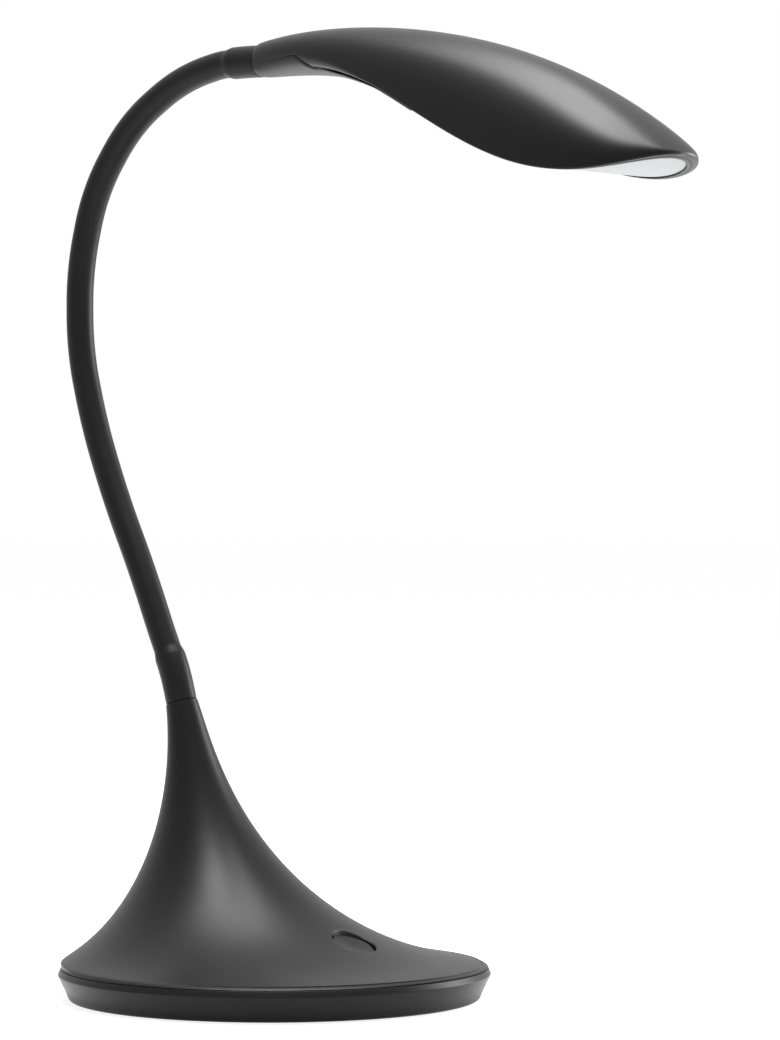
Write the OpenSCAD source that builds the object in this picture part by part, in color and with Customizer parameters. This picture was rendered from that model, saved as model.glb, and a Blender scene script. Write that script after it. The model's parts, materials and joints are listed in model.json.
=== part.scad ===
// Gooseneck desk lamp: a weighted round base, a sleeved bending neck and a leaf-shaped lamp head.
// Origin at the centre of the base's underside, +X to the front, +Y to the left, +Z up.

/* [Base] */
// Widest diameter of the base
base_d = 170; // [160:1:184]
// Diameter of the base at the bottom
foot_d = 160.6; // [150:0.2:166]
// Height of the base pan
pan_h = 12.7; // [12.2:0.1:15]
// Wall and floor of the base pan
pan_wall = 2; // [1.6:0.1:2.4]
// How far the foot pad's edge lies inside the base's bottom edge
pad_inset = 8.3; // [5:0.1:14]
// Thickness of the foot pad
pad_t = 2; // [1.6:0.1:2.4]
// How far the foot pad stands out of the pan
pad_proud = 0.5; // [0.4:0.1:1.2]
// Diameter of the counterweight
weight_d = 112; // [100:1:114]
// Thickness of the counterweight
weight_t = 6; // [4:0.1:6.2]

/* [Base cover] */
// Height of the cover, from its rim to the ring under the neck
cover_h = 102.3; // [94:0.1:112]
// Wall of the cover
cover_wall = 2.2; // [1.8:0.1:2.6]
// How far the neck stands behind the centre of the base
neck_setback = 45.6; // [40:0.2:48]
// Radius of the ring under the neck
throat_r = 6.4; // [6.2:0.1:7.2]

/* [Button] */
// Distance from the centre of the base forward to the button
button_x = 37.6; // [36:0.2:40]
// Width of the button, across the lamp
button_w = 18.6; // [17:0.2:20]
// Length of the button, fore and aft
button_l = 15.6; // [14.4:0.2:16.4]
// Travel of the button
button_travel = 1.2; // [0.6:0.1:1.3]
// Gap around the button
button_gap = 0.3; // [0.2:0.05:0.5]

/* [Inlet] */
// Outer diameter of the inlet's snout
jack_d = 7.2; // [6.8:0.1:7.4]
// Bore of the inlet
jack_bore = 5.6; // [5.4:0.1:5.8]
// Diameter of the inlet's centre pin
jack_pin_d = 2; // [1.6:0.1:2.5]
// Depth of the inlet's bore
jack_depth = 9.5; // [9:0.5:10.5]

/* [Neck] */
// Outer diameter of the neck sleeve
sleeve_d = 11; // [10.6:0.1:11.6]
// Bore of the neck sleeve
sleeve_bore = 8; // [7.9:0.05:8.2]
// Diameter of the sleeve's lower cuff
low_cuff_d = 12.4; // [12:0.1:13]
// Diameter of the sleeve's upper cuff
top_cuff_d = 12.6; // [12:0.1:12.8]
// Length of one bending length of the neck
segment_l = 32.5; // [28:0.1:34]
// Outer diameter of the steel core
core_d = 7.8; // [7.4:0.1:7.8]
// Bore of the steel core
core_bore = 5; // [4.8:0.1:5.2]
// Diameter of the lead in the neck
lead_d = 3.2; // [2.8:0.1:3.4]
// Turn of the neck and head to the right of the base's centre plane
neck_swing = 7; // [0:1:20]

/* [Ferrules] */
// Outer diameter of the ferrules
ferrule_d = 9.2; // [9:0.1:9.4]
// Length of the lower ferrule below the cover's ring
low_ferrule_l = 42; // [41:0.5:46]
// Length of the upper ferrule inside the head
top_ferrule_l = 29; // [28:0.5:32]

/* [Head] */
// Length of the head
head_l = 205.2; // [198:0.2:214]
// Wall of the head shell
head_wall = 1.6; // [1.4:0.1:1.8]
// Length of the neck cover under the head
neck_cover_l = 98.2; // [96:0.2:100]
// Wall of the neck cover
neck_cover_wall = 1.3; // [1.2:0.1:1.4]
// Width of the bezel
bezel_w = 1.4; // [1.2:0.1:1.6]
// How far the bezel stands below the shell's widest line
bezel_drop = 1; // [0.8:0.1:1.2]
// Thickness of the diffuser
diffuser_t = 1.8; // [1.4:0.1:2]

/* [Lamp board] */
// Length of the LED board, as a share of the way from its rear end to the head's tip
led_board_share = 0.765; // [0.72:0.005:0.78]
// Width of the LED board
led_board_w = 30; // [26:1:32]
// Thickness of the LED board
led_board_t = 1.6; // [1.2:0.1:2]
// Rows of LEDs along the board
led_rows = 8; // [6:1:9]
// LEDs in each row
led_columns = 3; // [2:1:3]

/* [Hidden] */

$fn = 48;
satin_black = [0.13, 0.13, 0.14];
sleeve_black = [0.10, 0.10, 0.11];
steel = [0.62, 0.63, 0.65];
brass = [0.76, 0.62, 0.34];
board_green = [0.10, 0.34, 0.20];
chip_black = [0.12, 0.12, 0.12];
lead_white = [0.88, 0.88, 0.86];
milk = [0.93, 0.94, 0.94];
alloy = [0.76, 0.77, 0.78];

fit_gap = 0.1;      // radial gap of a close fit
free_gap = 0.3;     // gap between covers and other loose neighbours
eps = 0.02;         // overshoot of a cutting shape

// ---- helpers -------------------------------------------------------------------------------

function choose(n, k) = k == 0 ? 1 : choose(n, k - 1) * (n - k + 1) / k;
// Bezier curve of any degree through a list of levels, at t from 0 to 1
function bez(c, t) = let (n = len(c) - 1)
  [for (i = 0, s = 0; i <= n + 1; s = s + (i <= n ? choose(n, i) * pow(t, i) * pow(1 - t, n - i) * c[i] : 0),
    i = i + 1) if (i == n + 1) s][0];
function smooth(t) = let (q = max(0, min(1, t))) q * q * (3 - 2 * q);
function unit(v) = v / norm(v);
// point at height-share v (0 at the wide end, 1 at the top) of a rounded arch: share of its half width
function arch(v, n) = pow(max(0, 1 - pow(abs(v), n)), 1 / n);

module ring_2d(ro, ri) {
  difference() {
    circle(r = ro);
    if (ri > 0) circle(r = ri);
  }
}
module tube(l, ro, ri) linear_extrude(l) ring_2d(ro, ri);

// tube that starts at the origin along +Z and bends towards +X
module arc_tube(l, bend, ro, ri) {
  r = l / (max(0.05, abs(bend)) * PI / 180);
  if (abs(bend) < 0.05) tube(l, ro, ri);
  else if (bend > 0) plain_arc(r, bend, ro, ri);
  else mirror([1, 0, 0]) plain_arc(r, -bend, ro, ri);
}
module plain_arc(r, bend, ro, ri)
  translate([r, 0, 0]) rotate([90, 0, 180]) rotate_extrude(angle = bend, $fn = 180)
    translate([r, 0]) ring_2d(ro, ri, $fn = 48);

// closed skin over rings of equally many points, the last ring joined to the first
module ring_loop(rings) {
  m = len(rings);
  n = len(rings[0]);
  polyhedron(points = [for (r = rings) each r], faces = [for (i = [0:m - 1], j = [0:n - 1])
    let (a = i * n + j, b = i * n + (j + 1) % n, c = ((i + 1) % m) * n + (j + 1) % n,
      d = ((i + 1) % m) * n + j) each [[a, b, c], [a, c, d]]]);
}
// closed skin over rings of equally many points, with a flat cap on both ends
module ring_stack(rings) {
  m = len(rings);
  n = len(rings[0]);
  polyhedron(points = [for (r = rings) each r], faces = concat(
    [for (i = [0:m - 2], j = [0:n - 1]) let (a = i * n + j, b = i * n + (j + 1) % n,
      c = (i + 1) * n + (j + 1) % n, d = (i + 1) * n + j) each [[a, b, c], [a, c, d]]],
    [[for (j = [n - 1:-1:0]) j]], [[for (j = [0:n - 1]) (m - 1) * n + j]]));
}
// round lead along a route of points
module sweep(route, r, sides = 8) {
  m = len(route);
  ring_stack([for (i = [0:m - 1]) let (t = unit(route[min(m - 1, i + 1)] - route[max(0, i - 1)]),
      u = unit(cross([0, 1, 0], t)), w = cross(t, u))
    [for (j = [0:sides - 1]) route[i] + r * (cos(-360 * j / sides) * u + sin(-360 * j / sides) * w)]]);
}

// ---- base ----------------------------------------------------------------------------------

base_r = base_d / 2;
foot_r = foot_d / 2;
pad_r = foot_r - pad_inset;
rim_step = 1.1;                       // how far the pan's top edge steps in from its widest ring
rim_drop = 2.3;                       // how far below the top edge the widest ring lies
foot_round = 1.5;                     // rounding of the pan's bottom edge
rim_r = base_r - rim_step;
floor_z = pad_t;                      // underside of the pan's floor, on the foot pad
floor_top = floor_z + pan_wall;
wall_in_r = foot_r - pan_wall - 0.4;  // inside radius at the floor
rim_in_r = rim_r - pan_wall - 0.4;    // inside radius at the top edge
weight_r = weight_d / 2;
weight_z = floor_top;
weight_top = weight_z + weight_t;

boss_ring = 64;                       // radius on which the cover's bosses stand
boss_r = 4;
boss_seat = 2.4;                      // height of the raised seat under each boss
cover_screw_r = 1.4;
cover_head_r = 2.9;
cover_head_h = 1.8;
cover_screw_l = 12;
boss_angles = [0, 120, 240];

weight_ring = 38;                     // radius on which the counterweight's screws stand
weight_boss_r = 4;
weight_boss_h = weight_t - 1;
weight_screw_r = 1.5;
weight_head_r = 5.4;
weight_head_h = 1.5;
weight_angles = [90, 210, 330];

module around(radius, angles) for (a = angles) rotate([0, 0, a]) translate([radius, 0, 0]) children();

module foot_pad() color([0.16, 0.16, 0.16]) cylinder(r = pad_r, h = pad_t, $fn = 96);

module base_pan() color(satin_black) difference() {
  union() {
    rotate_extrude($fn = 96) polygon(concat(
      [[0, floor_top], [0, floor_z], [pad_r + free_gap, floor_z], [pad_r + free_gap, pad_proud]],
      [for (a = [-90:15:0]) [foot_r - foot_round + foot_round * cos(a),
        pad_proud + foot_round + foot_round * sin(a)]],
      [[base_r, pan_h - rim_drop], [rim_r, pan_h], [rim_in_r, pan_h],
       [rim_in_r, pan_h - rim_drop], [wall_in_r, floor_top]]));
    around(boss_ring, boss_angles) translate([0, 0, floor_z + pan_wall / 2])
      cylinder(r = boss_r + 2, h = pan_wall / 2 + boss_seat);
    around(weight_ring, weight_angles) translate([0, 0, floor_z + pan_wall / 2])
      cylinder(r = weight_boss_r, h = pan_wall / 2 + weight_boss_h);
  }
  around(boss_ring, boss_angles) {
    translate([0, 0, floor_z - eps]) cylinder(r = cover_head_r + free_gap, h = cover_head_h + free_gap);
    cylinder(r = cover_screw_r + fit_gap, h = pan_h);
  }
  around(weight_ring, weight_angles) translate([0, 0, floor_z + pan_wall / 2])
    cylinder(r = weight_screw_r + fit_gap, h = pan_h);
  translate([-base_r, 0, jack_z]) rotate([0, 90, 0]) cylinder(r = jack_hole_r, h = base_r - wall_in_r + 2);
}

module counterweight() color(steel) difference() {
  translate([0, 0, weight_z]) cylinder(r = weight_r, h = weight_t, $fn = 96);
  around(weight_ring, weight_angles) cylinder(r = weight_boss_r + fit_gap, h = pan_h + weight_t);
}

module weight_screws() color(steel) around(weight_ring, weight_angles) {
  translate([0, 0, weight_top]) cylinder(r = weight_head_r, h = weight_head_h);
  translate([0, 0, floor_top]) cylinder(r = weight_screw_r, h = weight_t + eps);
}

module cover_screws() color(steel) around(boss_ring, boss_angles) {
  translate([0, 0, floor_z + fit_gap]) cylinder(r = cover_head_r, h = cover_head_h);
  translate([0, 0, floor_z + fit_gap]) cylinder(r = cover_screw_r, h = cover_screw_l);
}

// ---- base cover: round sections that shrink, shift back and rise ------------------------------

cover_z = pan_h + free_gap;
root_z = cover_z + cover_h;
root_lean = 16;                       // backward lean of the neck's root
cover_radius = [rim_r - 0.1, rim_r - 12.5, rim_r + 6.2, 12.1, 9.8, throat_r];
cover_shift = neck_setback * [0, 0.108, 0.455, 0.633, 0.863, 1];
cover_level = [cover_z, cover_z + 9.8, cover_z - 3.6, cover_z + 2.5, root_z - 21, root_z];
cover_steps = 22;
cover_sides = 48;
cavity_end = 0.79;                    // share of the sweep at which the cavity ends
bulkhead = 34;                        // depth of the nut's seat below the ring, along the ferrule
seat_r = 8.6;

function cover_t(i) = pow(i / cover_steps, 1.2);
function cov_r(t) = bez(cover_radius, t);
function cov_a(t) = bez(cover_shift, t);
function cov_z(t) = bez(cover_level, t);
// share of the sweep at which the cover's surface passes over the point x, y
function cov_t(x, y, lo = 0, hi = 1, n = 16) = n == 0 ? (lo + hi) / 2 : let (m = (lo + hi) / 2)
  cov_r(m) > norm([x + cov_a(m), y]) ? cov_t(x, y, m, hi, n - 1) : cov_t(x, y, lo, m, n - 1);
// height of the cover's surface over a point, on the ring that passes it and leans there
function cover_top(x, y = 0) = let (t = cov_t(x, y), turn = -neck_swing * pow(t, 3))
  cov_z(t) + ((x + cov_a(t)) * cos(turn) + y * sin(turn)) * sin(root_lean * pow(t, 3));
// height at which a post of radius r ends inside the cover's wall
function post_top(x, y, r) = let (d = unit([x + neck_setback / 2, y])) cover_top(x + r * d.x, y + r * d.y) - 0.4;

// ring of the cover, leaning by lean in the plane that is turned by turn
function lean_ring(c, r, lean, turn) = [for (j = [0:cover_sides - 1])
  let (p = 360 * j / cover_sides - turn, u = r * cos(p), v = r * sin(p))
  c + [u * cos(lean) * cos(turn) - v * sin(turn), u * cos(lean) * sin(turn) + v * cos(turn), -u * sin(lean)]];
function outer_ring(t) = lean_ring([-cov_a(t), 0, cov_z(t)], cov_r(t), -root_lean * pow(t, 3),
  -neck_swing * pow(t, 3));
// the cavity's ring lies one wall inside and below the outer one, and never under the rim
function inner_ring(t) = let (dr = cov_r(t + 0.01) - cov_r(t), dz = cov_z(t + 0.01) - cov_z(t),
    down = cover_wall * abs(dr) / norm([dr, dz]))
  lean_ring([-cov_a(t), 0, max(cover_z, cov_z(t) - down)], cov_r(t) - cover_wall, -root_lean * pow(t, 3),
    -neck_swing * pow(t, 3));

module cover_shell() ring_loop(concat(
  [for (i = [cover_steps:-1:0]) outer_ring(cover_t(i))],
  [for (i = [0:cover_steps]) inner_ring(cavity_end * cover_t(i))],
  [lean_ring(root_point(-bulkhead * dir(-root_lean)), seat_r, -root_lean, -neck_swing),
   lean_ring(root_point(-bulkhead * dir(-root_lean)), ferrule_r + fit_gap, -root_lean, -neck_swing),
   lean_ring(root_point([0, 0, 0]), ferrule_r + fit_gap, -root_lean, -neck_swing)]));

tongue_l = 1.7;
tongue_t = 1.4;
post_r = 2.6;
post_hole_r = 1;
post_x = [-12, 12];
post_y = [-19, 19];

module tongue() difference() {
  translate([0, 0, cover_z - tongue_l]) rotate_extrude($fn = 96)
    translate([rim_in_r - free_gap - tongue_t, 0]) square([tongue_t, tongue_l + 0.2]);
  translate([-base_r, -jack_w / 2 - 1, 0]) cube([30, jack_w + 2, cover_z - eps]);
}

module base_cover() color(satin_black) difference() {
  union() {
    cover_shell();
    tongue();
    for (a = boss_angles) let (x = boss_ring * cos(a), y = boss_ring * sin(a), z = floor_top + boss_seat)
      translate([x, y, z]) tube(post_top(x, y, boss_r) - z, boss_r, cover_screw_r + fit_gap);
    for (dx = post_x, y = post_y) let (x = board_x + dx)
      translate([x, y, board_top]) tube(post_top(x, y, post_r) - board_top, post_r, post_hole_r + fit_gap);
  }
  translate([button_x, 0, board_top]) linear_extrude(cover_h) oval(button_gap);
}

// ---- control board's place, on posts of the cover ---

board_l = 30;
board_w = 46;
board_t = 1.6;
board_lift = 2.2;                     // gap between the counterweight and the board
board_z = weight_top + board_lift;
board_top = board_z + board_t;
board_x = button_x - 2;
board_screw_r = 1;
board_head_r = 1.9;
board_head_h = 1.2;
board_screw_l = 5;
plug_x = board_x - board_l / 2 + 4;
plug_y = -6;
socket_y = 6;

// ---- button and switch -----------------------------------------------------------------------

button_sink = 1.2;                    // how far the button's face lies below the cover's surface
button_dish_r = 42;
button_dish = 0.8;
button_skin = 2.3;
button_wall = 1.5;
button_slope = atan((cover_top(button_x - 6) - cover_top(button_x + 6)) / 12);
face_z = cover_top(button_x) - button_sink;
stem_r = 2.9;
plunger_r = 2;
plunger_top = board_top + 5;
plunger_l = 2.8;
switch_w = 8;
switch_h = 3.4;
button_bottom = board_top + 2.6;

module oval(grow) polygon([for (a = [0:7.5:359]) [(button_l / 2 + grow) * cos(a), (button_w / 2 + grow) * sin(a)]]);

// upright oval prism under the button's sloping face
module button_block(grow, drop, bottom) intersection() {
  translate([button_x, 0, bottom]) linear_extrude(face_z + 10 - bottom) oval(grow);
  translate([button_x, 0, face_z - drop]) rotate([0, button_slope, 0]) translate([-30, -30, -40]) cube([60, 60, 40]);
}

module button() color(satin_black) difference() {
  union() {
    difference() {
      button_block(0, 0, button_bottom);
      button_block(-button_wall, button_skin, button_bottom - 1);
    }
    translate([button_x, 0, plunger_top]) cylinder(r = stem_r, h = face_z - button_dish - 0.5 - plunger_top);
  }
  translate([button_x, 0, face_z]) rotate([0, button_slope, 0]) translate([0, 0, button_dish_r - button_dish])
    sphere(r = button_dish_r, $fn = 96);
}

module push_switch() color(chip_black) difference() {
  translate([button_x - switch_w / 2, -switch_w / 2, board_top]) cube([switch_w, switch_w, switch_h]);
  translate([button_x, 0, board_top + 0.8]) cylinder(r = plunger_r + 0.05, h = switch_h);
}

module switch_plunger() color([0.85, 0.85, 0.83]) translate([button_x, 0, plunger_top - plunger_l])
  cylinder(r = plunger_r, h = plunger_l);

// ---- control board -----------------------------------------------------------------------------

module control_board() color(board_green) difference() {
  translate([board_x - board_l / 2, -board_w / 2, board_z]) cube([board_l, board_w, board_t]);
  for (dx = post_x, y = post_y) translate([board_x + dx, y, 0]) cylinder(r = board_screw_r + fit_gap, h = board_top + 1);
}

module board_parts() color(chip_black) translate([board_x, 0, board_top]) {
  translate([-6, -17, 0]) cube([5, 6, 1.6]);
  translate([-5, 14.5, 0]) cylinder(r = 2.6, h = 5);
  translate([1, 14, 0]) cylinder(r = 2.1, h = 4);
  translate([3, -16, 0]) cube([4, 4, 1.2]);
  translate([-15 + 2, 3.5, 0]) cube([5, 5, 3]);
}

module board_screws() color(steel) for (dx = post_x, y = post_y) translate([board_x + dx, y, board_z - board_head_h]) {
  cylinder(r = board_head_r, h = board_head_h);
  cylinder(r = board_screw_r, h = board_screw_l);
}

module lead_plug() color(lead_white) translate([plug_x - 3, plug_y - 3, board_top]) cube([6, 6, 5]);

// ---- inlet ----------------------------------------------------------------------------------------

jack_r = jack_d / 2;
jack_hole_r = jack_r + 0.2;
jack_w = 9;
jack_h = 8.4;
jack_l = 12;
jack_z = floor_top + 4.1;
jack_face = wall_in_r + (rim_in_r - wall_in_r) * 0.4 - 0.4; // distance of the snout's end from the axis
jack_back = wall_in_r - 1.4;          // where the housing's rear face stands
jack_pin_r = jack_pin_d / 2;
jack_root_r = jack_pin_r - 0.2;       // radius of the pin's rear end, held in the housing
jack_pin_in = 0.5;                    // how far the pin's tip lies inside the snout

module dc_jack() color(chip_black) difference() {
  union() {
    translate([-jack_back, -jack_w / 2, floor_top]) cube([jack_l, jack_w, jack_h]);
    translate([-jack_face, 0, jack_z]) rotate([0, 90, 0]) cylinder(r = jack_r, h = jack_face - jack_back + 1);
  }
  translate([-jack_face - eps, 0, jack_z]) rotate([0, 90, 0]) cylinder(r = jack_bore / 2, h = jack_depth + eps);
  translate([-jack_face, 0, jack_z]) rotate([0, 90, 0]) cylinder(r = jack_root_r + 0.03, h = jack_depth + 2.5);
}

module dc_jack_pin() color(brass) translate([-jack_face + jack_pin_in, 0, jack_z]) rotate([0, 90, 0]) {
  cylinder(r = jack_pin_r, h = jack_depth - jack_pin_in);
  cylinder(r = jack_root_r, h = jack_depth - jack_pin_in + 2);
}

jack_lead_r = 1.1;
jack_lead_z = weight_top + jack_lead_r + 0.4;
jack_end = [-jack_back + jack_l + eps, 0, floor_top + 5];
socket_end = [board_x - board_l / 2 + 2 - eps, socket_y, board_top + 1.5];
lead_span = socket_end.x - jack_end.x;
// route of the lead: over the counterweight's edge, across it and up onto the board
module jack_lead() color(chip_black) sweep(concat([jack_end, jack_end + [1.2, 0, 0]],
  [for (s = [0.07:0.09:0.8]) [jack_end.x + s * lead_span, socket_y * smooth(s / 0.8), jack_lead_z]],
  [socket_end - [8, 0, 1.6], socket_end - [5, 0, 0], socket_end]), jack_lead_r);

// ---- neck: its centreline lies in one plane, as runs of constant curvature --------------------------

sleeve_r = sleeve_d / 2;
sleeve_bore_r = sleeve_bore / 2;
low_cuff_r = low_cuff_d / 2;
top_cuff_r = top_cuff_d / 2;
core_r = core_d / 2;
core_bore_r = core_bore / 2;
lead_r = lead_d / 2;
ferrule_r = ferrule_d / 2;
ferrule_bore_r = core_r + 0.05;
ferrule_out = 6;                      // length of a ferrule inside its cuff
taper_l = 3;
slit = 0.02;                          // hairline between the lengths that a tube is made of
core_grip = 8;                        // length of core held in each ferrule

// lengths of the runs and the heading at each end of them, from straight up towards the front
runs = [ferrule_out, 13.3, taper_l, 15.6, segment_l, segment_l, segment_l, segment_l, segment_l,
  segment_l, segment_l, segment_l, 12.1, taper_l, 9.5, ferrule_out];
headings = [-root_lean, -root_lean, -25.8, -25.8, -23.8, -27.2, -22.6, -15.2, -0.2, 15.6, 38, 60.2, 79.8, 89.4, 89.4, 92, 92];
first_joint = 4;                      // index of the run that starts at the lowest joint
joints = 9;
mouth = len(runs);

joint_gap = 0.1;                      // radial gap between a joint's dome and its socket
lip_gap = 2;                          // where a sleeve length starts, past its joint
collar_l = 4;                         // where its straight collar ends
core_tail = 1.9;                      // how far a core length reaches past the joint above it
core_head = 5.7;                      // where a core length starts, past its joint
lead_gap = 0.45;                      // where a lead length starts and ends, from its joints

function dir(h) = [sin(h), 0, cos(h)];
function arc_to(p, h0, h1, l) = abs(h1 - h0) < 0.05 ? p + l * dir(h0)
  : p + l / ((h1 - h0) * PI / 180) * [cos(h0) - cos(h1), 0, sin(h1) - sin(h0)];
// each run that starts at a joint is straight over its collar
function straight(i) = i >= first_joint && i < first_joint + joints ? collar_l : 0;
function heading_at(i, s) = headings[i]
  + (headings[i + 1] - headings[i]) * max(0, s - straight(i)) / (runs[i] - straight(i));
function run_point(i, s) = s <= straight(i) ? knot(i) + s * dir(headings[i])
  : arc_to(knot(i) + straight(i) * dir(headings[i]), headings[i], heading_at(i, s), s - straight(i));
function knot(i) = i == 0 ? [0, 0, 0] : run_point(i - 1, runs[i - 1]);
// a point of the neck's plane in the lamp's own frame
function root_point(p) = [-neck_setback + p.x * cos(neck_swing) + p.y * sin(neck_swing),
  -p.x * sin(neck_swing) + p.y * cos(neck_swing), root_z + p.z];

module at_root() translate([-neck_setback, 0, root_z]) rotate([0, 0, -neck_swing]) children();
module at_knot(i) at_root() translate(knot(i)) rotate([0, headings[i], 0]) children();
// tube along run i from s0 to s1, ending a hairline short of the next one
module run_part(i, s0, s1, ro, ri) {
  a = max(s0, straight(i));
  b = s1 - slit;
  if (s0 < a) at_knot(i) translate([0, 0, s0]) tube(a - s0 - slit, ro, ri);
  at_root() translate(run_point(i, a)) rotate([0, heading_at(i, a), 0])
    arc_tube(b - a, heading_at(i, b) - heading_at(i, a), ro, ri);
}

// dome on the far end of a sleeve length, in which the next length turns
module joint_dome() rotate_extrude() intersection() {
  circle(r = sleeve_r);
  translate([sleeve_bore_r, 0]) square([sleeve_r, sleeve_r]);
}
// collar at the near end of a sleeve length, hollowed to turn over the dome
module joint_collar() rotate_extrude() difference() {
  translate([sleeve_bore_r, lip_gap]) square([sleeve_r - sleeve_bore_r, collar_l - slit - lip_gap]);
  circle(r = sleeve_r + joint_gap);
}
module cuff_taper(r1, r2) rotate_extrude()
  polygon([[sleeve_bore_r, 0], [r1, 0], [r2, taper_l - slit], [sleeve_bore_r, taper_l - slit]]);

module sleeve_first() color(sleeve_black) {
  run_part(0, free_gap, runs[0], low_cuff_r, ferrule_r + 0.05);
  run_part(1, 0, runs[1], low_cuff_r, sleeve_bore_r);
  at_knot(2) cuff_taper(low_cuff_r, sleeve_r);
  run_part(3, 0, runs[3], sleeve_r, sleeve_bore_r);
  at_knot(first_joint) joint_dome();
}
module sleeve_length(k) color(sleeve_black) {
  at_knot(first_joint + k) joint_collar();
  run_part(first_joint + k, collar_l, segment_l, sleeve_r, sleeve_bore_r);
  at_knot(first_joint + k + 1) joint_dome();
}
module sleeve_last() color(sleeve_black) {
  at_knot(12) joint_collar();
  run_part(12, collar_l, runs[12], sleeve_r, sleeve_bore_r);
  at_knot(13) cuff_taper(sleeve_r, top_cuff_r);
  run_part(14, 0, runs[14], top_cuff_r, sleeve_bore_r);
  run_part(15, 0, runs[15] - free_gap, top_cuff_r, ferrule_r + 0.05);
}

module core_first() color(steel) {
  at_knot(0) translate([0, 0, -core_grip]) tube(core_grip - slit, core_r, core_bore_r);
  for (i = [0:first_joint - 1]) run_part(i, 0, runs[i], core_r, core_bore_r);
  at_knot(first_joint) tube(core_tail, core_r, core_bore_r);
}
module core_length(k) color(steel) {
  run_part(first_joint + k, core_head, segment_l, core_r, core_bore_r);
  at_knot(first_joint + k + 1) tube(core_tail, core_r, core_bore_r);
}
module core_last() color(steel) {
  run_part(12, core_head, runs[12], core_r, core_bore_r);
  for (i = [13:mouth - 1]) run_part(i, 0, runs[i], core_r, core_bore_r);
  at_knot(mouth) tube(core_grip, core_r, core_bore_r);
}

// route of the lead through the base: a curve from the plug to the axis of the lower ferrule
plug_end = [plug_x - 3 - eps, plug_y, board_top + 2.5];
ferrule_end = root_point(-(low_ferrule_l + 4) * dir(-root_lean));
base_curve = [plug_end, plug_end - [28, 0, 0], 2 * ferrule_end - root_point(-(low_ferrule_l - 18) * dir(-root_lean)),
  ferrule_end];
function curve_point(c, t) = [for (k = [0:2]) bez([for (p = c) p[k]], t)];
base_route = concat([plug_end, plug_end - [1.2, 0, 0]], [for (t = [0.12:0.11:0.9]) curve_point(base_curve, t)]);
function run_points(i, n) = [for (j = [1:n]) root_point(run_point(i, runs[i] * j / n))];

module lead_first() color(lead_white) sweep(concat(base_route,
  [for (d = [low_ferrule_l + 4:-12:0]) root_point(-d * dir(-root_lean))],
  run_points(0, 1), run_points(1, 2), run_points(2, 1), run_points(3, 1),
  [root_point(run_point(3, runs[3] - lead_gap))]), lead_r);
module lead_length(k) color(lead_white) run_part(first_joint + k, lead_gap, segment_l - lead_gap, lead_r, 0);

// ---- ferrules ---------------------------------------------------------------------------------------

washer_t = 1.2;
nut_t = 5;
nut_r = 7.5;

module lower_ferrule() color(steel) at_knot(0) translate([0, 0, -low_ferrule_l])
  tube(low_ferrule_l + ferrule_out - fit_gap, ferrule_r, ferrule_bore_r);
module ferrule_washer() color(steel) at_knot(0) translate([0, 0, -bulkhead - washer_t])
  tube(washer_t, seat_r - 0.8, ferrule_r + fit_gap);
module ferrule_nut() color(brass) at_knot(0) translate([0, 0, -bulkhead - washer_t - nut_t]) difference() {
  cylinder(r = nut_r, h = nut_t, $fn = 6);
  translate([0, 0, -eps]) cylinder(r = ferrule_r + 0.05, h = nut_t + 2 * eps);
}
module upper_ferrule() color(steel) at_knot(mouth) translate([0, 0, fit_gap - ferrule_out])
  tube(ferrule_out - fit_gap + top_ferrule_l, ferrule_r, ferrule_bore_r);

// ---- head: local frame at the shell's mouth, +X along the head ---------------------------------------

level_heading = 92;                   // heading of the neck's end at which the head lies level
width_line = [7.4, 24.6, 31.5, 31.9, 37.5];
crown_line = [7.1, 13.8, 6, -5.4, -47.7];
mid_line = [0.4, 3.4, -4.7, -51.1, -63.5, -47.7];
belly_line = [-6.5, -7, -5.4, -20.9, -22.8];
tip_power = 7.7;
side_power = 2.2;
mouth_round = 3;
mouth_step = 0.7;
seam_z = -1.3;                        // height of the seam beside the neck
seam_gap = 0.2;                       // between the shell's edge and the neck cover
seam_step = [32, 43];                 // where the seam steps down from the neck to the shell's edge
tuck_long = 4.2;                      // how far the shell tucks under at the step
tuck_end = 86;
tuck_min = 0.8;
tuck_depth = 5.5;
tip_extra = 1;

function mouth_lip(x) = x >= mouth_round ? 0
  : mouth_step * (1 - sqrt(max(0, 1 - pow(1 - x / mouth_round, 2))));
function tip_off(d) = d <= 0 ? 0 : tip_extra + d;
// half width of the head at x, with the outline moved in by d
function half_w(x, d) = (bez(width_line, x / head_l) - d - mouth_lip(x))
  * sqrt(max(0, 1 - pow(x / (head_l - tip_off(d)), tip_power)));
function crown(x, d) = bez(crown_line, min(1, (x + 0.6 * d) / head_l)) - d - mouth_lip(x);
function mid(x) = bez(mid_line, x / head_l);
function belly(x) = bez(belly_line, min(1, x / neck_cover_l));
function tuck(x) = max(tuck_min, tuck_long * (tuck_end - x) / (tuck_end - seam_step[1]));
function seam(x) = let (s = smooth((x - seam_step[0]) / (seam_step[1] - seam_step[0])))
  (1 - s) * seam_z + s * (mid(x) - tuck(x));
function edge_share(x) = arch((mid(x) - seam(x)) / max(tuck_depth, mid(x) - belly(x)), side_power);

head_steps = 26;
arch_steps = 20;
tuck_steps = 2;
// stations along the rear end of the head, close together at the mouth and over the seam's step
rear_x = concat([0, 0.5, 1.4, mouth_round, 12, 22.5],
  [for (i = [0:8]) seam_step[0] + (seam_step[1] - seam_step[0]) * i / 8]);
// stations along the head, closer together towards the tip
head_x = concat(rear_x, [for (i = [1:head_steps]) let (t = i / head_steps)
  seam_step[1] + (head_l - seam_step[1]) * min(0.9996, t * (2 - t))]);

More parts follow.
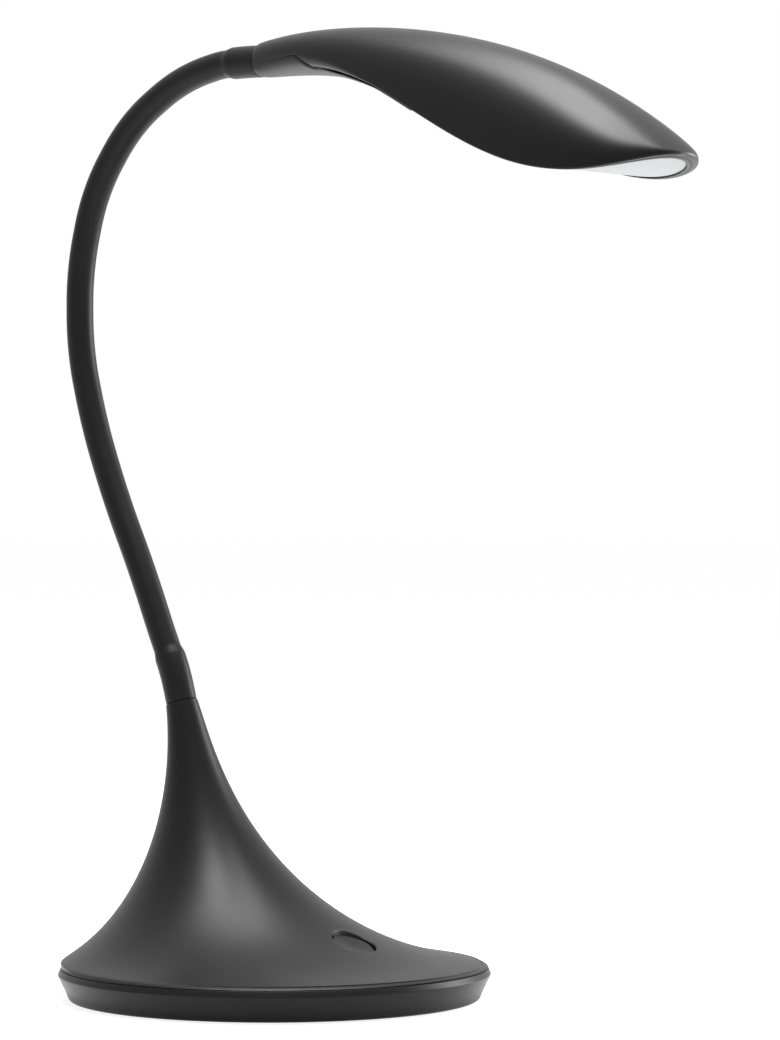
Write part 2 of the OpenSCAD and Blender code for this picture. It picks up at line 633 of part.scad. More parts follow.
// one arch of the shell from its right edge over the crown to its left edge
function shell_arch(x, d) = let (w = half_w(x, d), m = mid(x), s = seam(x), top = crown(x, d),
    deep = max(tuck_depth, m - belly(x)))
  concat(
    [for (k = [0:tuck_steps - 1]) let (z = s + (m - s) * k / tuck_steps)
      [x, -w * arch((m - z) / deep, side_power), z]],
    [for (k = [0:arch_steps]) let (a = 180 * k / arch_steps)
      [x, -w * sign(cos(a)) * pow(abs(cos(a)), 2 / side_power), m + (top - m) * pow(sin(a), 2 / side_power)]],
    [for (k = [tuck_steps - 1:-1:0]) let (z = s + (m - s) * k / tuck_steps)
      [x, w * arch((m - z) / deep, side_power), z]]);

// skin of a channel: outer arches and inner arches, closed along both edges and both ends
module channel(outer, inner) {
  m = len(outer);
  n = len(outer[0]);
  function o(i, j) = i * n + j;
  function q(i, j) = m * n + i * n + j;
  polyhedron(points = concat([for (r = outer) each r], [for (r = inner) each r]), faces = concat(
    [for (i = [0:m - 2], j = [0:n - 2]) each [[o(i, j), o(i, j + 1), o(i + 1, j + 1)],
      [o(i, j), o(i + 1, j + 1), o(i + 1, j)]]],
    [for (i = [0:m - 2], j = [0:n - 2]) each [[q(i, j), q(i + 1, j + 1), q(i, j + 1)],
      [q(i, j), q(i + 1, j), q(i + 1, j + 1)]]],
    [for (i = [0:m - 2]) each [[o(i, 0), o(i + 1, 0), q(i + 1, 0)], [o(i, 0), q(i + 1, 0), q(i, 0)],
      [o(i, n - 1), q(i + 1, n - 1), o(i + 1, n - 1)], [o(i, n - 1), q(i, n - 1), q(i + 1, n - 1)]]],
    [for (j = [0:n - 2]) each [[o(0, j), q(0, j), q(0, j + 1)], [o(0, j), q(0, j + 1), o(0, j + 1)],
      [o(m - 1, j), q(m - 1, j + 1), q(m - 1, j)], [o(m - 1, j), o(m - 1, j + 1), q(m - 1, j + 1)]]]));
}

// frame of the upper ferrule, which points down by end_tilt along the head
end_tilt = level_heading - 90;
module at_ferrule() at_head() rotate([0, end_tilt, 0]) children();
function ferrule_point(p) = [p.x * cos(end_tilt) + p.z * sin(end_tilt), p.y, p.z * cos(end_tilt) - p.x * sin(end_tilt)];
module at_head() at_root() translate(knot(mouth)) rotate([0, headings[mouth] - level_heading, 0]) children();

inner_scale = (head_l - tip_off(head_wall)) / head_l;
module shell_skin() channel([for (x = head_x) shell_arch(x, 0)],
  [for (x = head_x) shell_arch(x * inner_scale, head_wall)]);

// posts that hang from the shell's crown: foot point, radius, tilt
clamp_x = 24;
clamp_y = 7.8;
clamp_l = 6;
clamp_ear = 2.2;                      // from a clamp screw's axis to the ear's edge
clamp_strap = 0.35;                   // thickness of the clamp's strap
clamp_post_r = 2.2;
cover_post_x = 62;
screw_r = 1.2;
head_r = 2.2;
head_h = 1.6;
led_x = neck_cover_l + 6;
led_z = mid(led_x) + 4.5;
led_board_l = led_board_share * (head_l - led_x);
board_tilt = asin((led_z - mid(led_x + 0.95 * led_board_l) - 7) / led_board_l);
led_edge = 7;                         // from the board's ends to the first and last LEDs
led_row_pitch = (led_board_l - 2 * led_edge) / (led_rows - 1);
led_pitch = led_board_w * 0.36;
sink_t = 2;
sink_ribs = 5;
rib_h = 5;
sink_inset = 8;                       // board left bare at its rear end, for the lead
// screws of the LED board, between the LEDs
board_posts = [[led_edge + led_row_pitch / 2, 0], [led_edge + (led_rows - 1.5) * led_row_pitch, -led_pitch / 2],
  [led_edge + (led_rows - 1.5) * led_row_pitch, led_pitch / 2]];

// local height of the shell's inner face over a point
function roof(x, y) = mid(x) + (crown(x, head_wall) - mid(x)) * arch(y / half_w(x, head_wall), side_power);
// length of a post that starts at p, leans forward by tilt and ends in the shell's wall
function post_l(p, r, tilt, lo = 2, hi = 60, n = 14) = n == 0 ? lo : let (m = (lo + hi) / 2,
    e = p + m * dir(tilt))
  e.z < roof(e.x, abs(e.y)) + head_wall * 0.35 ? post_l(p, r, tilt, m, hi, n - 1)
    : post_l(p, r, tilt, lo, m, n - 1);
module shell_post(p, r, tilt) translate(p) rotate([0, tilt, 0]) tube(post_l(p, r, tilt), r, screw_r + fit_gap);

// foot of each of the shell's posts
function board_point(q, h) = [led_x, 0, led_z] + q[0] * [cos(board_tilt), 0, -sin(board_tilt)]
  + [0, q[1], 0] + h * dir(board_tilt);
clamp_top = 0.5;                      // half the thickness of the clamp's ears
cover_post_z = seam(cover_post_x) + 0.6;

module head_shell() color(satin_black) at_head() union() {
  shell_skin();
  for (y = [-clamp_y, clamp_y]) shell_post(ferrule_point([clamp_x, y, clamp_top]), clamp_post_r, end_tilt);
  shell_post([cover_post_x, 0, cover_post_z], 3, 0);
  for (q = board_posts) shell_post(board_point(q, led_board_t + sink_t), 3, board_tilt);
}

module ferrule_clamp() color(steel) at_ferrule() difference() {
  union() {
    translate([clamp_x - clamp_l / 2, 0, 0]) rotate([0, 90, 0]) cylinder(r = ferrule_r + 0.05 + clamp_strap, h = clamp_l);
    translate([clamp_x - clamp_l / 2, -clamp_y - clamp_ear, -clamp_top])
      cube([clamp_l, 2 * (clamp_y + clamp_ear), 2 * clamp_top]);
  }
  translate([clamp_x - clamp_l / 2 - 1, 0, 0]) rotate([0, 90, 0]) cylinder(r = ferrule_r + 0.05, h = clamp_l + 2);
  for (y = [-clamp_y, clamp_y]) translate([clamp_x, y, -3]) cylinder(r = screw_r + fit_gap, h = 6);
}

// underside of the neck: from the mouth to the bezel, inside the shell's edge past the step
function cover_arc(x, d) = let (s = smooth((x - seam_step[0]) / (seam_step[1] - seam_step[0])),
    w = half_w(x, 0) * edge_share(x) - s * (head_wall + free_gap) - d, top = seam(x) - seam_gap,
    low = belly(x) + d)
  [for (k = [0:16]) let (a = 180 * k / 16) [x, w * sign(cos(a)) * pow(abs(cos(a)), 2 / side_power),
    top + (low - top) * pow(sin(a), 2 / side_power)]];
cover_x = concat(rear_x, [for (i = [1:9]) seam_step[1] + (neck_cover_l - seam_step[1]) * i / 9]);
module neck_cover() color(satin_black) at_head() difference() {
  channel([for (x = cover_x) cover_arc(x, 0)], [for (x = cover_x) cover_arc(x, neck_cover_wall)]);
  translate([cover_post_x, 0, belly(cover_post_x) - 2]) cylinder(r = screw_r + fit_gap, h = 6);
  translate([cover_post_x, 0, belly(cover_post_x) - 2]) cylinder(r = head_r + 0.2, h = 2.9);
}

// ---- bezel and diffuser: flat across, following the shell's edge ---------------------------------------

bezel_x = neck_cover_l + free_gap;
bezel_d = head_wall + free_gap;
lens_d = bezel_d + bezel_w + 0.15;
bezel_top = 0.9;
outline_steps = 22;

// outline moved in by d, from the right rear corner round the tip to the left rear corner
function outline_x(d) = let (x0 = bezel_x + d - bezel_d, x1 = head_l - tip_off(d))
  [for (i = [0:outline_steps]) let (t = i / outline_steps) x0 + (x1 - x0) * min(0.9992, t * (2 - t))];
function outline(d, dz) = let (xs = outline_x(d)) concat(
  [for (x = xs) [x, -half_w(x, d), mid(x) + dz]],
  [for (i = [outline_steps:-1:0]) [xs[i], half_w(xs[i], d), mid(xs[i]) + dz]]);

module bezel() color(satin_black) at_head() ring_loop([outline(bezel_d, bezel_top), outline(bezel_d, -0.1),
  outline(bezel_d + bezel_w, -bezel_drop), outline(bezel_d + bezel_w, bezel_top)]);

module diffuser() color(milk) at_head() ring_stack([for (x = outline_x(lens_d)) let (w = half_w(x, lens_d),
    z = mid(x) - bezel_drop + 0.05)
  [[x, -w, z], [x, -w, z + diffuser_t], [x, w, z + diffuser_t], [x, w, z]]]);

// ---- LED board ------------------------------------------------------------------------------------------

module at_board() at_head() translate([led_x, 0, led_z]) rotate([0, board_tilt, 0]) children();

module led_board() color([0.92, 0.92, 0.9]) at_board() difference() {
  translate([0, -led_board_w / 2, 0]) cube([led_board_l, led_board_w, led_board_t]);
  for (q = board_posts) translate([q[0], q[1], -1]) cylinder(r = screw_r + fit_gap, h = led_board_t + 2);
}

led_l = 3.5;
led_w = 2.8;
led_h = 0.8;
module leds() color([0.98, 0.93, 0.62]) at_board() for (i = [0:led_rows - 1], j = [0:led_columns - 1])
  translate([led_edge + i * led_row_pitch - led_l / 2,
    (j - (led_columns - 1) / 2) * led_pitch - led_w / 2, -led_h])
    cube([led_l, led_w, led_h]);

module heat_sink() color(alloy) at_board() difference() {
  union() {
    translate([sink_inset, -led_board_w / 2 + 1, led_board_t]) cube([led_board_l - sink_inset - 1, led_board_w - 2, sink_t]);
    for (i = [0:sink_ribs - 1]) translate([20 + i * 8, -led_board_w / 2 + 4, led_board_t + sink_t - eps])
      cube([1.2, led_board_w - 8, rib_h]);
  }
  for (q = board_posts) translate([q[0], q[1], 0]) cylinder(r = screw_r + fit_gap, h = rib_h + 6);
}

clamp_screw_l = 6.5;
screw_l = 9;
flat_head_h = 0.8;
module small_screw(l, h = head_h) {
  cylinder(r = head_r, h = h);
  cylinder(r = screw_r, h = l);
}
module head_screws() color(steel) {
  at_ferrule() for (y = [-clamp_y, clamp_y]) translate([clamp_x, y, -clamp_top - head_h]) small_screw(clamp_screw_l);
  at_head() translate([cover_post_x, 0, belly(cover_post_x) + 0.05]) small_screw(screw_l, flat_head_h);
  at_board() for (q = board_posts) translate([q[0], q[1], -head_h]) small_screw(screw_l);
}

// route of the lead through the head, from the upper ferrule to the bare end of the LED board
head_route = [[34, 0.8, -1], [40, 2, -1], [46, 3.6, -1], [54, 5.8, -1.2], [62, 6.6, -2.6], [70, 6.2, -4.8],
  [78, 5, -7.6], [86, 3.6, -10.8], [94, 2.4, -14.4], [101, 1.4, -18]];
function head_point(p) = let (h = headings[mouth] - level_heading)
  root_point(knot(mouth) + [p.x * cos(h) + p.z * sin(h), p.y, -p.x * sin(h) + p.z * cos(h)]);
module lead_last() color(lead_white) sweep(concat([root_point(run_point(12, lead_gap))], run_points(12, 2),
  run_points(13, 1), run_points(14, 1), run_points(15, 1),
  [for (i = [1:4]) head_point(ferrule_point([top_ferrule_l * i / 4, 0, 0]))], [for (p = head_route) head_point(p)],
  [head_point(board_point([3, 0], led_board_t + lead_r))]), lead_r);

foot_pad();
base_pan();
counterweight();
weight_screws();
base_cover();
cover_screws();
lower_ferrule();
ferrule_washer();
ferrule_nut();
control_board();
board_parts();
board_screws();
push_switch();
switch_plunger();
button();
dc_jack();
dc_jack_pin();
jack_lead();
lead_plug();
sleeve_first();  // neck_sleeve_01
sleeve_length(0);  // neck_sleeve_02
sleeve_length(1);  // neck_sleeve_03
sleeve_length(2);  // neck_sleeve_04
sleeve_length(3);  // neck_sleeve_05
sleeve_length(4);  // neck_sleeve_06
sleeve_length(5);  // neck_sleeve_07
sleeve_length(6);  // neck_sleeve_08
sleeve_length(7);  // neck_sleeve_09
sleeve_last();  // neck_sleeve_10
core_first();  // neck_core_01
core_length(0);  // neck_core_02
core_length(1);  // neck_core_03
core_length(2);  // neck_core_04
core_length(3);  // neck_core_05
core_length(4);  // neck_core_06
core_length(5);  // neck_core_07
core_length(6);  // neck_core_08
core_length(7);  // neck_core_09
core_last();  // neck_core_10
lead_first();  // neck_lead_01
lead_length(0);  // neck_lead_02
lead_length(1);  // neck_lead_03
lead_length(2);  // neck_lead_04
lead_length(3);  // neck_lead_05
lead_length(4);  // neck_lead_06
lead_length(5);  // neck_lead_07
lead_length(6);  // neck_lead_08
lead_length(7);  // neck_lead_09
lead_last();  // neck_lead_10
upper_ferrule();
ferrule_clamp();
head_shell();
neck_cover();
bezel();
diffuser();
led_board();
leds();
heat_sink();
head_screws();
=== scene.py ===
import json
import math

import bmesh
import bpy
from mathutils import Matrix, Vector


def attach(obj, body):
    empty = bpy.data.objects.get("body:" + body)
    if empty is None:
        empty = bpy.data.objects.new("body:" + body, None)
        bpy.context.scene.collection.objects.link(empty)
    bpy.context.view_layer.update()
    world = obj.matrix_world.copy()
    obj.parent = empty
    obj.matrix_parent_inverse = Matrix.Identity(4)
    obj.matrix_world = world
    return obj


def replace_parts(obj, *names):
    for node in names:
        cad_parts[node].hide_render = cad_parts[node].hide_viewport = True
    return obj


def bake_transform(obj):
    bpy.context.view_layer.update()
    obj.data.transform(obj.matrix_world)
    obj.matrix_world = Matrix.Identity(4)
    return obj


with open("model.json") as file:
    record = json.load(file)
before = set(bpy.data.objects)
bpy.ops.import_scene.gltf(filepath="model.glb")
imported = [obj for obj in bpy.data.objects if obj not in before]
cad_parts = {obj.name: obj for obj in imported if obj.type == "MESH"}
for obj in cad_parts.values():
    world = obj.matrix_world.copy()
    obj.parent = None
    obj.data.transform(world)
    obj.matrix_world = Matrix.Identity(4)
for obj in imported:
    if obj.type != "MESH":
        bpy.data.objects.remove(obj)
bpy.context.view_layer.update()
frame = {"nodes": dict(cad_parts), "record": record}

MM = 0.001


def sin(degrees):
    return math.sin(math.radians(degrees))


def cos(degrees):
    return math.cos(math.radians(degrees))


# ---- camera, level and at the photograph's view ----------------------------------------------

CAMERA_AT = (0.92909, -1.29652, 0.188)
CAMERA_AZIMUTH = 34
SENSOR, FOCAL_PX, PHOTO_HEIGHT_PX = 36, 4063, 1040

cam_data = bpy.data.cameras.new("camera")
cam = bpy.data.objects.new("camera", cam_data)
bpy.context.scene.collection.objects.link(cam)
cam.location = CAMERA_AT
cam.rotation_euler = (math.radians(90), 0, math.radians(CAMERA_AZIMUTH))
cam_data.sensor_width = SENSOR
cam_data.lens = SENSOR * FOCAL_PX / PHOTO_HEIGHT_PX
cam_data.clip_end = 50
bpy.context.scene.camera = cam


# ---- the part's own sizes, in mm and degrees -------------------------------------------------

GAP = 0.3                                    # between neighbouring pieces
BASE_R, FOOT_R, PAN_H, COVER_Z, ROOT_Z = 85.0, 80.3, 12.7, 13.0, 115.3
SETBACK, SWING, LEAN = 45.6, 7.0, 16.0       # of the neck's root: behind the centre, turned, back

# pan: the pad stands PROUD below its foot, and the screws sit on two rings
PAD_R, PROUD, PAD_SEAT_Z, PAN_FLOOR_Z = 72.0, 0.5, 2.0, 4.0
RIM_H, RIM_W, RIM_BEVEL, PAN_WALL = 2.3, 3.5, 1.1, 2.4
COVER_SCREW_RING, WEIGHT_SCREW_RING = 64, 38
JACK_HOLE_R, JACK_HOLE_X, JACK_Z = 3.8, (-90, -70), 8.1

# button: oval half sizes along x and y, and the lower end of its skirt
BUTTON_X, BUTTON_A, BUTTON_B, BUTTON_GAP, BUTTON_FOOT = 37.6, 7.8, 9.3, 0.3, 16.4
BUTTON_SUNK, BUTTON_LIP = 1.2, 0.7
DISH_DEPTH, DISH_EDGE = 0.8, 0.95

# cover, Bezier values from the rim to the throat: radius, setback of the ring's centre, height
COVER_R = [83.8, 80.6, 83.0, 14.5, 9.4, 6.4]
COVER_A = [SETBACK * k for k in (0, 0, 0.533, 0.608, 0.863, 1)]
COVER_L = [13.0, 16.0, 14.3, 14.6, ROOT_Z - 21.3, ROOT_Z]

# neck: runs between knots, and the heading at each knot, from upright toward the head's side
SLEEVE_R, LOW_CUFF_R, TOP_CUFF_R, NECK_BORE_R = 5.5, 6.2, 6.3, 4.9
SEG = 32.5
HALF = SEG / 2
RUNS = [6, 13.3, 3, 15.6] + [SEG] * 8 + [12.1, 3, 9.5, 6]
HEADS = [-16, -16, -25.8, -25.8, -23.8, -27.2, -22.6, -15.2, -0.2, 15.6, 38, 60.2, 79.8, 89.4,
         89.4, 92, 92]
HINGES, FIRST, COLLAR = 9, 4, 4.0            # hinges, the first one's run, the straight at each
LOW_SPLIT, TOP_SPLIT = 13.0, 10.0            # where the skins end: before and after end hinges

# head, in its own frame: x along it from the mouth; Bezier values of its lines
HEAD_L, HEAD_WALL, TIP_EXTRA = 205.2, 1.6, 1.0
WIDTH = [7.4, 24.6, 31.5, 31.9, 37.5]
CROWN = [7.1, 13.8, 6, -5.4, -47.7]
MID = [0.4, 3.4, -4.7, -51.1, -63.5, -47.7]
BELLY = [-6.5, -7, -5.4, -20.9, -22.8]
SQUARE, TIP_SQUARE = 2.2, 7.7                # powers of the sections' and the tip's outline
MOUTH_ROUND_L, MOUTH_ROUND_D = 3, 0.7        # rounding of the edge at the mouth
MOUTH_STATIONS = [0, 0.25, 0.6, 1.1, 1.8]
NECK_COVER_L, NECK_COVER_WALL = 98.2, 1.3
SEAM_STEP, TUCK_END = (31.0, 39.5), 86.0
ARCH_STEPS, TUCK_STEPS = 84, 5

BEZEL_X, BEZEL_D, BEZEL_W, BEZEL_DROP = NECK_COVER_L + GAP, HEAD_WALL + GAP, 1.4, 0.75
BEZEL_TOP = 0.85
LENS_D, LENS_DROP, LENS_T = BEZEL_D + BEZEL_W + 0.15, 0.2, 1.8


def bez(c, t):
    n = len(c) - 1
    return sum(math.comb(n, i) * t ** i * (1 - t) ** (n - i) * c[i] for i in range(n + 1))


def smooth(t):
    q = max(0.0, min(1.0, t))
    return q * q * (3 - 2 * q)


def arch(v):
    return max(0.0, 1 - abs(v) ** SQUARE) ** (1 / SQUARE)


def oval(w, rise, a):
    """Across and up, at angle a of half an oval with squared shoulders."""
    c = cos(a)
    return w * math.copysign(abs(c) ** (2 / SQUARE), c), rise * abs(sin(a)) ** (2 / SQUARE)


def eased(n, top):
    """n + 1 shares from 0 to top, closer together toward the end."""
    return [min(top, (k / n) * (2 - k / n)) for k in range(n + 1)]


# ---- mesh helpers ----------------------------------------------------------------------------

WELD, SLIVER = 2e-6, 1e-6


def make(name, verts, faces, body=None, slot=None, up=None, sharp=40):
    """Mesh object from points in mm.

    up is a point and a direction: the face nearest to the point is turned that way, and the
    rest with it.
    """
    me = bpy.data.meshes.new(name)
    me.from_pydata([(v[0] * MM, v[1] * MM, v[2] * MM) for v in verts], [], faces)
    bm = bmesh.new()
    bm.from_mesh(me)
    bmesh.ops.remove_doubles(bm, verts=bm.verts, dist=WELD)
    bmesh.ops.dissolve_degenerate(bm, dist=SLIVER, edges=bm.edges)
    bmesh.ops.recalc_face_normals(bm, faces=bm.faces)
    if up is not None:
        p, d = Vector(up[0]) * MM, Vector(up[1])
        f = min(bm.faces, key=lambda g: (g.calc_center_median() - p).length)
        if f.normal.dot(d) < 0:
            bmesh.ops.reverse_faces(bm, faces=bm.faces)
    bm.to_mesh(me)
    bm.free()
    me.shade_smooth()
    me.set_sharp_from_angle(angle=math.radians(sharp))
    ob = bpy.data.objects.new(name, me)
    bpy.context.scene.collection.objects.link(ob)
    if slot:
        me.materials.append(MATERIALS[slot])
    if body:
        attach(ob, body)
    return ob


def bridge(a, b):
    """Quads between two closed rings, given as the numbers of their vertices."""
    n = len(a)
    return [(a[i], a[(i + 1) % n], b[(i + 1) % n], b[i]) for i in range(n)]


def rows_faces(n_rows, n, skip=None):
    """Quads between closed rings of n vertices that follow one another, from vertex 0."""
    out = []
    for i in range(n_rows - 1):
        quads = bridge(range(i * n, (i + 1) * n), range((i + 1) * n, (i + 2) * n))
        out += [q for j, q in enumerate(quads) if not (skip and skip(i, j))]
    return out


def end_caps(n_rows, n):
    """Closes the first and the last row of a flat tube, each an outer run and an inner one."""
    out = []
    for base, turn in ((0, 1), ((n_rows - 1) * n, -1)):
        out += [(base + j, base + j + 1, base + n - 2 - j, base + n - 1 - j)[::turn]
                for j in range(n // 2 - 1)]
    return out


def lathe(profile, n=192):
    verts = [(r * cos(360 * j / n), r * sin(360 * j / n), z) for r, z in profile for j in range(n)]
    return verts, rows_faces(len(profile), n)


# ---- materials -------------------------------------------------------------------------------

ROUGH_FINER, ROUGH_LEAST = 3.3, 0.02         # noise of the roughness against that of the colour
SSS_DEPTH, BUMP_DEPTH = 0.004, 0.0001        # metres


def noise(nt, vector, scale, detail):
    node = nt.nodes.new("ShaderNodeTexNoise")
    node.inputs["Scale"].default_value = scale
    node.inputs["Detail"].default_value = detail
    nt.links.new(vector, node.inputs["Vector"])
    return node.outputs["Fac"]


def map_range(nt, value, low, high):
    node = nt.nodes.new("ShaderNodeMapRange")
    node.inputs["To Min"].default_value = low
    node.inputs["To Max"].default_value = high
    nt.links.new(value, node.inputs["Value"])
    return node.outputs["Result"]


def material(name, colour, rough, spec=0.5, metal=0.0, vary=0.12, scale=60, bump=0.0,
             bump_scale=900, rough_vary=0.05, ior=1.5, sss=0.0, stretch=(1, 1, 1)):
    m = bpy.data.materials.new(name)
    m.use_nodes = True
    nt = m.node_tree
    b = nt.nodes["Principled BSDF"]
    b.inputs["Metallic"].default_value = metal
    b.inputs["Specular IOR Level"].default_value = spec
    b.inputs["IOR"].default_value = ior
    if sss:
        b.inputs["Subsurface Weight"].default_value = sss
        b.inputs["Subsurface Scale"].default_value = SSS_DEPTH
    co = nt.nodes.new("ShaderNodeTexCoord")
    mp = nt.nodes.new("ShaderNodeMapping")
    mp.inputs["Scale"].default_value = stretch
    nt.links.new(co.outputs["Object"], mp.inputs["Vector"])
    vector = mp.outputs["Vector"]
    mottle = noise(nt, vector, scale, 4)
    ramp = nt.nodes.new("ShaderNodeValToRGB")
    darker, lighter = ramp.color_ramp.elements
    darker.position, lighter.position = 0.3, 0.7
    darker.color = (*[c * (1 - vary) for c in colour], 1)
    lighter.color = (*[min(1, c * (1 + vary)) for c in colour], 1)
    nt.links.new(mottle, ramp.inputs["Fac"])
    nt.links.new(ramp.outputs["Color"], b.inputs["Base Color"])
    patches = noise(nt, vector, scale * ROUGH_FINER, 3)
    roughness = map_range(nt, patches, max(ROUGH_LEAST, rough - rough_vary),
                          min(1, rough + rough_vary))
    nt.links.new(roughness, b.inputs["Roughness"])
    if bump:
        grain = noise(nt, vector, bump_scale, 2)
        bp = nt.nodes.new("ShaderNodeBump")
        bp.inputs["Strength"].default_value = bump
        bp.inputs["Distance"].default_value = BUMP_DEPTH
        nt.links.new(grain, bp.inputs["Height"])
        nt.links.new(bp.outputs["Normal"], b.inputs["Normal"])
    return m


LOOKS = {
    "satin_black": dict(colour=(0.0035, 0.0035, 0.0037), rough=0.38, ior=1.25, vary=0.10,
                        scale=35, bump=0.05, bump_scale=2600, rough_vary=0.02),
    "sleeve_black": dict(colour=(0.0042, 0.0042, 0.0045), rough=0.42, ior=1.25, vary=0.10,
                         scale=50, bump=0.08, bump_scale=2200, rough_vary=0.03),
    "pad_rubber": dict(colour=(0.022, 0.022, 0.022), rough=0.75, spec=0.3, vary=0.2, scale=120,
                       bump=0.4, bump_scale=1400),
    "zinc_steel": dict(colour=(0.55, 0.56, 0.58), rough=0.35, metal=1, vary=0.08, scale=200),
    "core_steel": dict(colour=(0.45, 0.46, 0.48), rough=0.3, metal=1, vary=0.08, scale=200,
                       bump=0.6, bump_scale=700, stretch=(0.3, 0.3, 2)),
    "brass": dict(colour=(0.72, 0.56, 0.28), rough=0.28, metal=1, vary=0.08, scale=200),
    "board_green": dict(colour=(0.03, 0.16, 0.07), rough=0.35, vary=0.25, scale=260, bump=0.2),
    "chip_black": dict(colour=(0.02, 0.02, 0.02), rough=0.55, vary=0.2, scale=300, bump=0.3),
    "plug_white": dict(colour=(0.78, 0.78, 0.75), rough=0.45, vary=0.04, scale=200, bump=0.1),
    "lead_jacket": dict(colour=(0.72, 0.72, 0.70), rough=0.5, vary=0.05, scale=200, bump=0.1),
    "milk": dict(colour=(0.46, 0.465, 0.47), rough=0.55, spec=0.1, vary=0.008, scale=90,
                 bump=0.05, bump_scale=1800, rough_vary=0.03, sss=0.25),
    "led_yellow": dict(colour=(0.86, 0.74, 0.30), rough=0.25, vary=0.06, scale=500),
    "lamp_board": dict(colour=(0.82, 0.82, 0.80), rough=0.4, vary=0.04, scale=200, bump=0.1),
    "sink_alloy": dict(colour=(0.68, 0.69, 0.70), rough=0.38, metal=1, vary=0.06, scale=150,
                       bump=0.3, stretch=(0.2, 4, 1)),
}
MATERIALS = {name: material(name, **look) for name, look in LOOKS.items()}

slots = {s["node"]: s["material_slot"] for s in frame["record"]["subparts"]}
for node, ob in frame["nodes"].items():
    ob.data.materials.clear()
    ob.data.materials.append(MATERIALS[slots[node]])


# ---- base pan: turned skin with rounded edges, the inlet's hole left open --------------------

ON_AXIS = 0.001                              # a ring this small is welded into one point


def round_corner(profile, at, radius, n=6):
    """Replaces corner number at of an open profile by an arc."""
    p0, p, p1 = (Vector(profile[at + k]) for k in (-1, 0, 1))
    a, b = (p0 - p).normalized(), (p1 - p).normalized()
    half = a.angle(b) / 2
    cut = radius / math.tan(half)
    c = p + (a + b).normalized() * radius / math.sin(half)
    s, e = p + a * cut - c, p + b * cut - c
    out = []
    for i in range(n + 1):
        v = s.lerp(e, i / n)
        out.append(tuple(c + v.normalized() * radius))
    return profile[:at] + out + profile[at + 1:]


def carved(ob, shapes):
    """Joins solids to the object's mesh or cuts them out of it: (operation, vertices, faces)."""
    for k, (operation, verts, faces) in enumerate(shapes):
        tool = make(f"tool_{k}", verts, faces)
        mod = ob.modifiers.new("carve", "BOOLEAN")
        mod.operation, mod.object, mod.solver = operation, tool, "EXACT"
        view = bpy.context.evaluated_depsgraph_get()
        done = bpy.data.meshes.new_from_object(ob.evaluated_get(view))
        ob.modifiers.clear()
        ob.data = done
        bpy.data.objects.remove(tool)
    ob.data.set_sharp_from_angle(angle=math.radians(30))
    return ob


def upright(cx, cy, r, z0, z1, n=48):
    """Closed upright cylinder."""
    verts = [(cx + r * cos(360 * j / n), cy + r * sin(360 * j / n), z)
             for z in (z0, z1) for j in range(n)]
    return verts, rows_faces(2, n) + [tuple(range(n)), tuple(range(n, 2 * n))]


def ring_places(radius, angles):
    return [(radius * cos(a), radius * sin(a)) for a in angles]


def pan_skin():
    inner_r = BASE_R - RIM_W
    profile = [(PAD_R + GAP, PAD_SEAT_Z), (PAD_R + GAP, PROUD), (FOOT_R, PROUD),
               (BASE_R, PAN_H - RIM_H), (BASE_R - RIM_BEVEL, PAN_H), (inner_r, PAN_H),
               (inner_r, PAN_H - RIM_H), (FOOT_R - PAN_WALL, PAN_FLOOR_Z)]
    # from the last corner to the first, so that the numbers still to come stay right
    for at, radius in ((5, 0.25), (4, 0.35), (3, 0.7), (2, 1.7), (1, 0.2)):
        profile = round_corner(profile, at, radius)
    profile = [(ON_AXIS, PAD_SEAT_Z)] + profile + [(ON_AXIS, PAN_FLOOR_Z)]
    verts, faces = lathe(profile)
    m, n = len(profile), len(verts) // len(profile)
    faces += [tuple(range(n)), tuple(range((m - 1) * n, m * n))]
    pan = make("pan_skin", verts, faces, "base", "satin_black", sharp=30)
    bosses = ring_places(COVER_SCREW_RING, (0, 120, 240))
    seats = ring_places(WEIGHT_SCREW_RING, (90, 210, 330))
    shapes = []
    for operation, places, r, z0, z1 in (
            ("UNION", bosses, 6, 3, 6.4),
            ("UNION", seats, 4, 3, 9),
            ("DIFFERENCE", bosses, 3.2, 1.5, 4.1),      # for the screws' heads
            ("DIFFERENCE", bosses, 1.5, 1.5, 14),       # for their shanks
            ("DIFFERENCE", seats, 1.6, 3, 14)):
        shapes += [(operation, *upright(x, y, r, z0, z1)) for x, y in places]
    lying, faces = upright(0, 0, JACK_HOLE_R, *JACK_HOLE_X)
    hole = [(x, y, z + JACK_Z) for z, y, x in lying]
    shapes.append(("DIFFERENCE", hole, faces))
    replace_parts(carved(pan, shapes), "base_pan")


pan_skin()


# ---- base cover ------------------------------------------------------------------------------

ROOT_DIR = Vector((-sin(LEAN) * cos(SWING), sin(LEAN) * sin(SWING), cos(LEAN)))
HALVINGS = 22


def cov(t):
    return bez(COVER_R, t), bez(COVER_A, t), bez(COVER_L, t)


def cov_point(t, phi, inset=0.0):
    """Point of the cover at share t from rim to throat; the rings lean and turn more and more."""
    r, a, z = cov(t)
    r -= inset
    lean, turn = -LEAN * t ** 3, -SWING * t ** 3
    u, v = r * cos(phi - turn), r * sin(phi - turn)
    return (-a + u * cos(lean) * cos(turn) - v * sin(turn),
            u * cos(lean) * sin(turn) + v * cos(turn), z - u * sin(lean))


def cov_height(x, y):
    lo, hi = 0.0, 1.0
    for _ in range(HALVINGS):
        m = (lo + hi) / 2
        r, a, _z = cov(m)
        if r > math.hypot(x + a, y):
            lo = m
        else:
            hi = m
    a, z = cov(lo)[1:]
    turn = -SWING * lo ** 3
    return z + ((x + a) * cos(turn) + y * sin(turn)) * sin(LEAN * lo ** 3)


